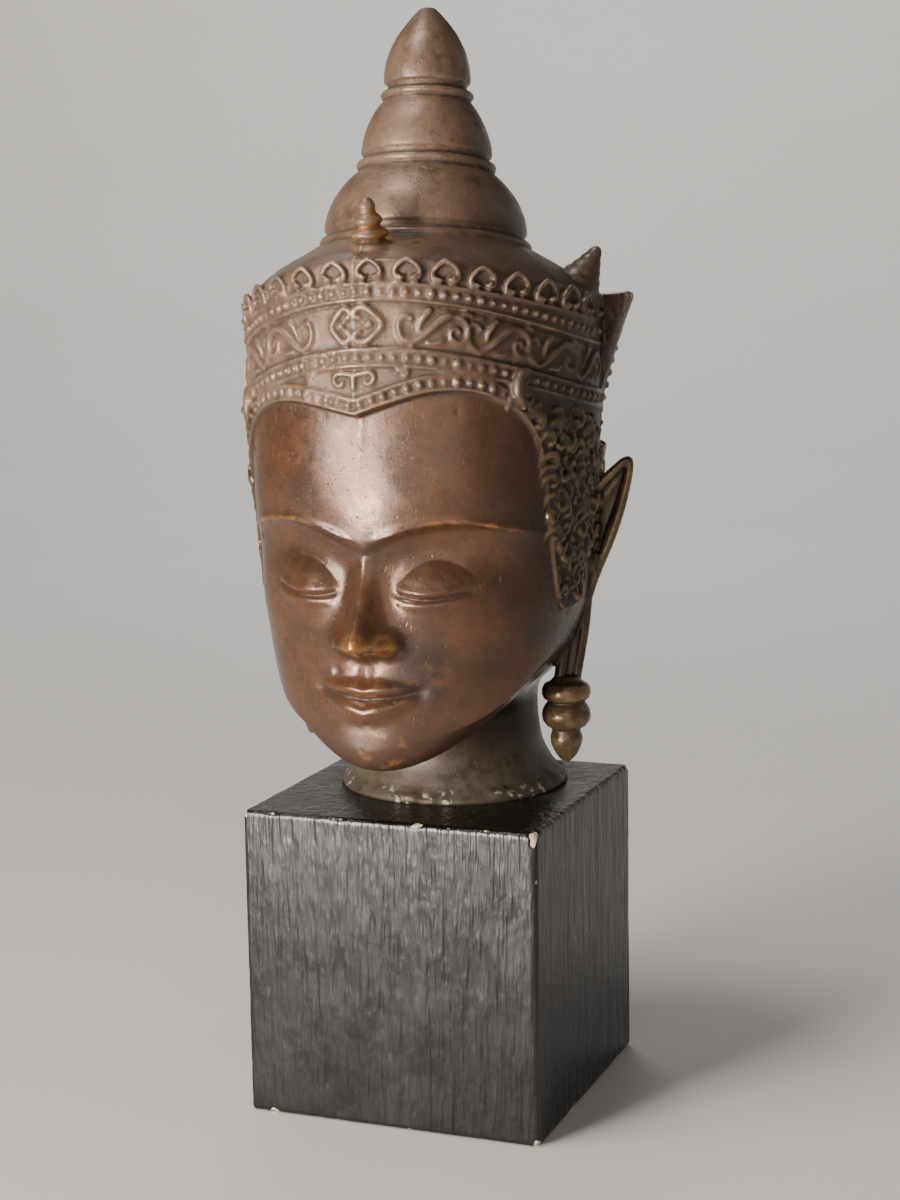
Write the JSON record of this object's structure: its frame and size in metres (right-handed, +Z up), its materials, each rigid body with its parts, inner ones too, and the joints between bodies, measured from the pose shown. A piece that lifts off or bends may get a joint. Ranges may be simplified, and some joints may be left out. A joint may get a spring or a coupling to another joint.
{
  "type": "bronze buddha head on a wooden block",
  "caption": "Bronze head with a tall ringed spire, a carved crown band, long ears with pendants and a flared neck, standing on a black cube block.",
  "frame": {"origin": "centre of the block's underside", "axes": "+Z up along the neck and spire, the face towards -Y, +X to the figure's left ear"},
  "size_m": [0.1032, 0.0986, 0.283],
  "materials": {
    "bronze": "cast bronze with a dark brown patina, dusty on the crown and rubbed to gold on the high points",
    "black_paint": "wood brushed with black paint, half gloss, chipped to a pale ground on its corners"
  },
  "bodies": {
    "root": {"bronze_head": "bronze", "wood_block": "black_paint"}
  },
  "joints": []
}
